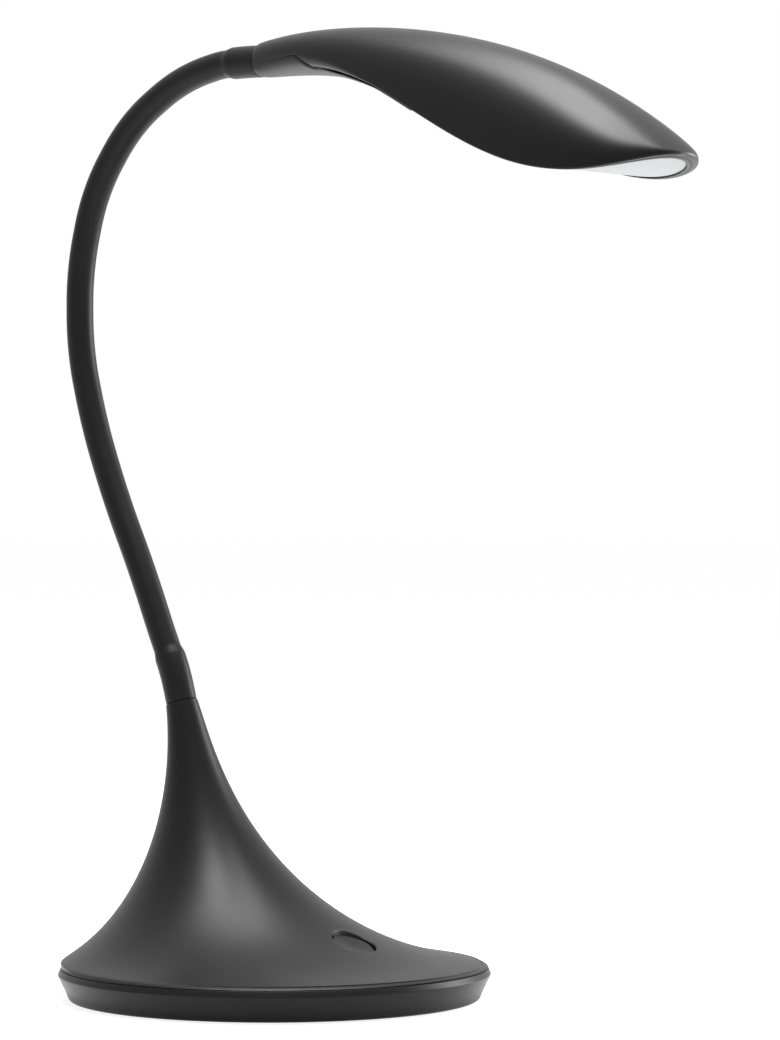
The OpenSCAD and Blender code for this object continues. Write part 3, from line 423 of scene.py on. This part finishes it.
def button_mouth(verts, faces, edge):
    """Rings from the edge of the patch left out to the button's oval, over its lip and down."""
    a0, b0 = (half + BUTTON_GAP + BUTTON_LIP for half in (BUTTON_A, BUTTON_B))
    angle = [math.atan2(verts[e][1] / b0, (verts[e][0] - BUTTON_X) / a0) for e in edge]
    prev = edge

    def add_ring(points):
        nonlocal prev
        start = len(verts)
        verts.extend(points)
        cur = list(range(start, start + len(edge)))
        faces.extend(bridge(prev, cur))
        prev = cur

    steps = 8
    for k in range(1, steps + 1):
        s = (k / steps) ** 0.8
        points = []
        for e, q in zip(edge, angle):
            x = verts[e][0] * (1 - s) + (BUTTON_X + a0 * math.cos(q)) * s
            y = verts[e][1] * (1 - s) + b0 * math.sin(q) * s
            points.append((x, y, cov_height(x, y)))
        add_ring(points)
    # five rings round the lip, then three more straight down
    for k in range(1, 9):
        beta = min(90, 18 * k)
        inset = BUTTON_LIP * sin(beta)
        drop = BUTTON_LIP * (1 - cos(beta)) + max(0, k - 5) * 0.7
        points = []
        for q in angle:
            z = cov_height(BUTTON_X + a0 * math.cos(q), b0 * math.sin(q)) - drop
            points.append((BUTTON_X + (a0 - inset) * math.cos(q), (b0 - inset) * math.sin(q), z))
        add_ring(points)


def cover_skin():
    rings, n = 110, 144
    half, first, last = 8, 37, 57            # of the patch left out for the button

    def in_patch(i, j):
        return first <= i < last and (j < half or j >= n - half)

    verts = [cov_point(i / rings, 360 * j / n) for i in range(rings + 1) for j in range(n)]
    faces = rows_faces(rings + 1, n, skip=in_patch)
    # rim: turned in under the lower edge and up inside it
    prev = 0
    for inset, rise in ((0.25, 0.0), (2.0, 0.0), (2.2, 0.15), (2.2, 1.2)):
        cur = len(verts)
        verts += [(*cov_point(0, 360 * j / n, inset)[:2], COVER_Z + rise) for j in range(n)]
        faces += [(prev + (j + 1) % n, prev + j, cur + j, cur + (j + 1) % n) for j in range(n)]
        prev = cur
    # throat: turned in at the top ring
    prev = rings * n
    for inset, drop in ((0.35, -0.12), (1.6, -0.12), (1.7, 1.0)):
        cur = len(verts)
        verts += [tuple(Vector(cov_point(1, 360 * j / n, inset)) - ROOT_DIR * drop)
                  for j in range(n)]
        faces += bridge(range(prev, prev + n), range(cur, cur + n))
        prev = cur
    loop = [(first, j) for j in range(-half, half + 1)]
    loop += [(i, half) for i in range(first + 1, last + 1)]
    loop += [(last, j) for j in range(half - 1, -half - 1, -1)]
    loop += [(i, -half) for i in range(last - 1, first, -1)]
    button_mouth(verts, faces, [i * n + j % n for i, j in loop])
    ob = make("base_cover_skin", verts, faces, "base", "satin_black",
              up=((-10, -60, 20), (0, -0.5, 1)), sharp=50)
    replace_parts(ob, "base_cover")


cover_skin()


# ---- button ----------------------------------------------------------------------------------

def button_skin():
    slope = (cov_height(BUTTON_X - 6, 0) - cov_height(BUTTON_X + 6, 0)) / 12
    face = cov_height(BUTTON_X, 0) - BUTTON_SUNK
    # rings as a share of the oval and a drop: the dish, the rounded edge and the skirt
    rings = [(rho, DISH_DEPTH * (1 - rho / DISH_EDGE) ** 2 * (1 + 2 * rho / DISH_EDGE))
             for rho in (0.02, 0.18, 0.34, 0.5, 0.64, 0.76, 0.85, 0.91)]
    rings += [(0.945, 0.02), (0.97, 0.1), (0.988, 0.28), (1.0, 0.6), (1.0, 3.0), (1.0, None)]
    verts, n = [], 72
    for rho, drop in rings:
        for j in range(n):
            q = 2 * math.pi * j / n
            x, y = BUTTON_A * rho * math.cos(q), BUTTON_B * rho * math.sin(q)
            z = BUTTON_FOOT if drop is None else face - slope * x - drop
            verts.append((BUTTON_X + x, y, z))
    faces = rows_faces(len(rings), n)
    faces.append(tuple(range(n)))
    ob = make("button_cap", verts, faces, "button", "satin_black",
              up=((BUTTON_X, 0, face), (0, 0, 1)), sharp=60)
    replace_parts(ob, "button")


button_skin()


# ---- neck ------------------------------------------------------------------------------------

def straight(i):
    return COLLAR if FIRST <= i < FIRST + HINGES else 0.0


def heading_at(i, s):
    share = max(0.0, s - straight(i)) / (RUNS[i] - straight(i))
    return HEADS[i] + (HEADS[i + 1] - HEADS[i]) * share


def arc_to(p, h0, h1, l):
    if abs(h1 - h0) < 0.05:
        return (p[0] + l * sin(h0), p[1] + l * cos(h0))
    k = l / math.radians(h1 - h0)
    return (p[0] + k * (cos(h0) - cos(h1)), p[1] + k * (sin(h1) - sin(h0)))


def run_point(i, s):
    """Point at distance s along run i: straight over the collar, then an arc."""
    p, h, a = KNOTS[i], HEADS[i], straight(i)
    if s <= a:
        return (p[0] + s * sin(h), p[1] + s * cos(h))
    q = (p[0] + a * sin(h), p[1] + a * cos(h))
    return arc_to(q, h, heading_at(i, s), s - a)


KNOTS = [(0.0, 0.0)]
for i, length in enumerate(RUNS):
    KNOTS.append(run_point(i, length))


def to_row(x, y, z):
    """A point of the neck's own frame, in the frame of the whole lamp."""
    return (-SETBACK + x * cos(SWING) + y * sin(SWING), -x * sin(SWING) + y * cos(SWING),
            ROOT_Z + z)


def stations(i, s0, s1, pitch):
    n = max(1, math.ceil((s1 - s0) / pitch))
    return [(i, s0 + (s1 - s0) * k / n) for k in range(n + 1)]


def neck_tube(name, path, body, replaced, n=56):
    """Closed tube through (run, distance, radius) stations, and back along its bore."""
    verts = []
    for sign in (1, -1):
        for i, s, r in path[::sign]:
            x, z = run_point(i, s)
            h = heading_at(i, s)
            rr = r if sign == 1 else NECK_BORE_R
            for j in range(n):
                q = 360 * j / n
                across = rr * cos(q)
                verts.append(to_row(x + across * cos(h), rr * sin(q), z - across * sin(h)))
    rows = 2 * len(path)
    faces = rows_faces(rows, n) + bridge(range((rows - 1) * n, rows * n), range(n))
    ob = make(name, verts, faces, body, "sleeve_black", sharp=50)
    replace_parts(ob, *replaced)
    return ob


def neck_skins():
    low = [(0, 0.3, LOW_CUFF_R - 0.35), (0, 0.42, LOW_CUFF_R - 0.12), (0, 0.7, LOW_CUFF_R)]
    low += [(i, s, LOW_CUFF_R)
            for i, s in stations(0, 1.5, 6, 1.5) + stations(1, 1.2, RUNS[1] - 0.6, 1.4)]
    low += [(1, RUNS[1] - 0.25, LOW_CUFF_R - 0.03), (2, 0.15, LOW_CUFF_R - 0.1),
            (2, 1.5, (LOW_CUFF_R + SLEEVE_R) / 2), (2, 2.8, SLEEVE_R + 0.06)]
    low += [(i, s, SLEEVE_R) for i, s in stations(3, 0.2, RUNS[3] - LOW_SPLIT, 1.2)]
    neck_tube("cuff_low", low, "base", ["neck_sleeve_01"])

    top = [(i, s, SLEEVE_R) for i, s in stations(12, TOP_SPLIT, RUNS[12] - 0.2, 1.1)]
    top += [(13, 0.15, SLEEVE_R + 0.05), (13, 1.5, (TOP_CUFF_R + SLEEVE_R) / 2),
            (13, 2.85, TOP_CUFF_R - 0.08), (14, 0.2, TOP_CUFF_R - 0.02)]
    top += [(i, s, TOP_CUFF_R)
            for i, s in stations(14, 0.6, 9.5, 1.2) + stations(15, 1.0, 5.3, 1.3)]
    top += [(15, 5.65, TOP_CUFF_R - 0.08), (15, 5.9, TOP_CUFF_R - 0.3)]
    neck_tube("cuff_top", top, "head", ["neck_sleeve_10"])

    pitch = 1.3
    for k in range(HINGES):
        run, is_last = FIRST + k, k == HINGES - 1
        if k == 0:
            part = stations(3, RUNS[3] - LOW_SPLIT, RUNS[3], pitch)
        else:
            part = stations(run - 1, HALF, SEG, pitch)
        part += stations(run, pitch, TOP_SPLIT if is_last else HALF, pitch)
        ob = neck_tube(f"neck_skin_{k + 1}", [(i, s, SLEEVE_R) for i, s in part], None,
                       [f"neck_sleeve_{k + 2:02d}"])
        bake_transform(ob)


neck_skins()


# ---- head: its frame starts at the neck's end ------------------------------------------------

MOUTH = KNOTS[-1]


def head_row(p):
    return to_row(MOUTH[0] + p[0], p[1], MOUTH[1] + p[2])


def mouth_lip(x):
    if x >= MOUTH_ROUND_L:
        return 0.0
    return MOUTH_ROUND_D * (1 - math.sqrt(max(0, 1 - (1 - max(0, x) / MOUTH_ROUND_L) ** 2)))


def tip_off(d):
    return 0.0 if d <= 0 else TIP_EXTRA + d


def half_w(x, d=0.0):
    """Half width at x, of the surface that lies d inside the outer one."""
    reach = math.sqrt(max(0, 1 - (x / (HEAD_L - tip_off(d))) ** TIP_SQUARE))
    return (bez(WIDTH, x / HEAD_L) - d - mouth_lip(x)) * reach


def crown(x, d=0.0):
    return bez(CROWN, min(1, (x + 0.6 * d) / HEAD_L)) - d - mouth_lip(x)


def mid(x):
    """Height of the widest line."""
    return bez(MID, x / HEAD_L)


def belly(x):
    return bez(BELLY, min(1, x / NECK_COVER_L))


def step(x):
    return smooth((x - SEAM_STEP[0]) / (SEAM_STEP[1] - SEAM_STEP[0]))


def seam(x):
    """Height of the shell's lower edge: it steps down to below the widest line."""
    s = step(x)
    tuck = max(0.8, 4.2 * (TUCK_END - x) / (TUCK_END - SEAM_STEP[1]))
    return (1 - s) * -1.3 + s * (mid(x) - tuck)


def seam_open(x):
    """Share of the seam's rounding and gap: the seam all but closes near the mouth."""
    return 0.06 + 0.94 * smooth((x - SEAM_STEP[0] + 12) / 8)


def deep(x):
    return max(5.5, mid(x) - belly(x))


def low_w(x, z, d=0.0):
    """Half width of the shell below its widest line."""
    return half_w(x, d) * arch((mid(x) - z) / deep(x))


def mirrored(points):
    return [(x, -y, z) for x, y, z in points]


def shell_rows(x, d, lift):
    """Section of the shell from its lower edge, over the crown and down to the other edge."""
    w, m, s, top = half_w(x, d), mid(x), seam(x) + lift, crown(x, d)
    side = []
    for k in range(TUCK_STEPS):
        z = s + (m - s) * k / TUCK_STEPS
        side.append((x, -w * arch((m - z) / deep(x)), z))
    over = []
    for k in range(ARCH_STEPS + 1):
        across, up = oval(-w, top - m, 180 * k / ARCH_STEPS)
        over.append((x, across, m + up))
    return side + over + mirrored(side[::-1])


def head_shell_skin():
    xs = MOUTH_STATIONS + [MOUTH_ROUND_L + (HEAD_L - MOUTH_ROUND_L) * q
                           for q in eased(96, 0.99985)]
    k_in = (HEAD_L - tip_off(HEAD_WALL)) / HEAD_L
    verts = []
    for x in xs:
        f = seam_open(x)
        xi = x * k_in
        outer = shell_rows(x, 0, 0.45 * f)
        inner = shell_rows(xi, HEAD_WALL, 0.25)
        s, si = seam(x), seam(xi)
        w, wi = low_w(x, s), low_w(xi, si, HEAD_WALL)
        edge_out = [(x, -w + 0.05 * f, s + 0.2 * f), (x, -w + 0.2 * f, s + 0.05 * f),
                    (x, -w + 0.42 * f, s)]
        edge_in = [(xi, -wi - 0.2, si), (xi, -wi - 0.05, si + 0.1)]
        row = edge_in + edge_out[::-1] + outer + mirrored(edge_out) + mirrored(edge_in[::-1])
        row += inner[::-1]
        verts += [head_row(p) for p in row]
    n, n_in, lip = len(row), len(inner), len(edge_in + edge_out)
    faces = rows_faces(len(xs), n)
    # mouth: closed between the outer and the inner skin
    faces += [(lip + j, lip + j + 1, n - 2 - j, n - 1 - j) for j in range(n_in - 1)]
    faces.append(tuple(range(lip + 1)) + (n - 1,))
    faces.append(tuple(lip + n_in - 1 + k for k in range(lip + 2)))
    # tip: closed from side to side, along the outer skin, the inner skin and the rim
    base, far = (len(xs) - 1) * n, lip + n_in
    faces.append(tuple(base + k for k in range(lip, far)))
    faces.append(tuple(base + k for k in range(far + lip, n)))
    pairs = [(lip - k, far - 1 + k) for k in range(lip + 1)] + [(n - 1, far + lip)]
    faces += [(base + a, base + b, base + d, base + c)
              for (a, b), (c, d) in zip(pairs, pairs[1:])]
    ob = make("head_shell_skin", verts, faces, "head", "satin_black",
              up=(head_row((120, 0, crown(120))), (0, 0, 1)), sharp=50)
    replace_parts(ob, "head_shell")


def neck_cover_arc(x, d, n):
    """Section of the neck cover, d inside its outer surface, from side to side."""
    w = low_w(x, seam(x)) - step(x) * (HEAD_WALL + GAP) - d
    gap = 0.15 * seam_open(x) + 0.8 * smooth((x - SEAM_STEP[1]) / 15)
    top, bottom = seam(x) - gap, belly(x) + d
    out = []
    for k in range(n + 1):
        across, down = oval(w, bottom - top, 180 * k / n)
        out.append((x, across, top + down))
    return out


def neck_cover_skin():
    n_rows, n_arc = 60, 56
    xs = MOUTH_STATIONS + [MOUTH_ROUND_L + (NECK_COVER_L - MOUTH_ROUND_L) * k / n_rows
                           for k in range(n_rows + 1)]
    verts = []
    for x in xs:
        lip = mouth_lip(x) * 0.6
        low = seam(x) - 3
        outer = [(px, y, z + (lip if z < low else 0))
                 for px, y, z in neck_cover_arc(x, 0, n_arc)]
        inner = neck_cover_arc(x, NECK_COVER_WALL, n_arc)
        verts += [head_row(p) for p in outer + inner[::-1]]
    n = 2 * (n_arc + 1)
    faces = rows_faces(len(xs), n) + end_caps(len(xs), n)
    ob = make("neck_cover_skin", verts, faces, "head", "satin_black",
              up=(head_row((60, 0, belly(60))), (0, 0, -1)), sharp=50)
    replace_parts(ob, "neck_cover")


def mouth_xs(d, n, top):
    """Stations along the lamp's opening, for an outline that lies d inside the shell's."""
    x0, x1 = BEZEL_X + d - BEZEL_D, HEAD_L - tip_off(d)
    return [x0 + (x1 - x0) * q for q in eased(n, top)]


def outline(d, dz):
    """Ring round the lamp's opening: right side, tip, left side and rear edge."""
    xs = mouth_xs(d, 80, 0.9998)
    right = [(x, -half_w(x, d), mid(x) + dz) for x in xs]
    left = [(x, half_w(x, d), mid(x) + dz) for x in xs[::-1]]
    x = xs[-1]
    w = half_w(x, d)
    tip = [(x + 0.02, -w + 2 * w * k / 6, mid(x) + dz) for k in range(1, 6)]
    x = xs[0]
    w = half_w(x, d)
    back = [(x, w - 2 * w * k / 12, mid(x) + dz) for k in range(1, 12)]
    return right + tip + left + back


def bezel_skin():
    ds, de = BEZEL_D - GAP + 0.05, BEZEL_D + BEZEL_W
    # inset and height, from the outer wall round the lower face to the inner wall
    section = [(ds, BEZEL_TOP), (ds, -BEZEL_DROP + 0.25), (ds + 0.08, -BEZEL_DROP + 0.08),
               (ds + 0.25, -BEZEL_DROP), (de - 0.25, -BEZEL_DROP),
               (de - 0.08, -BEZEL_DROP + 0.06), (de, -BEZEL_DROP + 0.2), (de, BEZEL_TOP)]
    rings = [outline(d, dz) for d, dz in section]
    m, n = len(rings), len(rings[0])
    verts = [head_row(p) for r in rings for p in r]
    faces = rows_faces(m, n) + bridge(range((m - 1) * n, m * n), range(n))
    ob = make("bezel_ring", verts, faces, "head", "satin_black", sharp=45)
    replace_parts(ob, "bezel")


def diffuser_skin():
    cols, edge_lift = 16, 0.12
    xs = mouth_xs(LENS_D, 80, 0.9996)
    verts = []
    for x in xs:
        w, z = half_w(x, LENS_D), mid(x) - LENS_DROP
        low_row = [(x, -w + 2 * w * j / cols, z + (edge_lift if j in (0, cols) else 0))
                   for j in range(cols + 1)]
        high_row = [(x, y, z + LENS_T) for _, y, _ in low_row[::-1]]
        verts += [head_row(p) for p in low_row + high_row]
    n = 2 * (cols + 1)
    faces = rows_faces(len(xs), n) + end_caps(len(xs), n)
    ob = make("diffuser_lens", verts, faces, "head", "milk", sharp=35)
    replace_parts(ob, "diffuser")


head_shell_skin()
neck_cover_skin()
bezel_skin()
diffuser_skin()


# ---- studio ----------------------------------------------------------------------------------

WORLD_LIGHT, WORLD_SEEN = 0.2, 1.0
FLOOR_SIZE, FLOOR_Z, FLOOR_GREY, FLOOR_SEEN = 60, -0.0001, 0.62, 0.87


def seen(nt, hidden, shown):
    """Shown for camera, glossy and transmission rays, and hidden for the rest."""
    rays = nt.nodes.new("ShaderNodeLightPath").outputs
    value = rays["Is Camera Ray"]
    for other in ("Is Transmission Ray", "Is Glossy Ray"):
        either = nt.nodes.new("ShaderNodeMath")
        either.operation = "MAXIMUM"
        nt.links.new(value, either.inputs[0])
        nt.links.new(rays[other], either.inputs[1])
        value = either.outputs[0]
    return map_range(nt, value, hidden, shown)


world = bpy.data.worlds.new("studio")
bpy.context.scene.world = world
world.use_nodes = True
nt = world.node_tree
bg = nt.nodes["Background"]
bg.inputs["Color"].default_value = (1, 1, 1, 1)
nt.links.new(seen(nt, WORLD_LIGHT, WORLD_SEEN), bg.inputs["Strength"])

bpy.ops.mesh.primitive_plane_add(size=FLOOR_SIZE, location=(0, 0, FLOOR_Z))
floor = bpy.context.object
floor.name = "floor"
fm = bpy.data.materials.new("floor")
fm.use_nodes = True
nt = fm.node_tree
out = nt.nodes["Material Output"]
nt.nodes.remove(nt.nodes["Principled BSDF"])
dif = nt.nodes.new("ShaderNodeBsdfDiffuse")
dif.inputs["Color"].default_value = (FLOOR_GREY, FLOOR_GREY, FLOOR_GREY, 1)
em = nt.nodes.new("ShaderNodeEmission")
em.inputs["Color"].default_value = (1, 1, 1, 1)
nt.links.new(seen(nt, 0.0, FLOOR_SEEN), em.inputs["Strength"])
add = nt.nodes.new("ShaderNodeAddShader")
nt.links.new(dif.outputs[0], add.inputs[0])
nt.links.new(em.outputs[0], add.inputs[1])
nt.links.new(add.outputs[0], out.inputs["Surface"])
floor.data.materials.append(fm)


def area(name, at, look, size, power):
    d = bpy.data.lights.new(name, "AREA")
    d.shape = "RECTANGLE"
    d.size, d.size_y = size
    d.energy = power
    o = bpy.data.objects.new(name, d)
    o.location = at
    o.rotation_euler = (Vector(look) - Vector(at)).to_track_quat("-Z", "Y").to_euler()
    bpy.context.scene.collection.objects.link(o)


area("top_box", (0.09, 0.14, 1.6), (0.03, 0.02, 0.1), (1.02, 1.02), 45)
area("front_box", (0.16, -0.22, 1.6), (0.03, 0.02, 0.1), (0.6, 0.6), 19)
area("back_strip", (0.70, 1.04, 0.38), (-0.04, 0.0, 0.2), (0.5, 0.72), 14)

bpy.context.scene.view_settings.view_transform = "Standard"
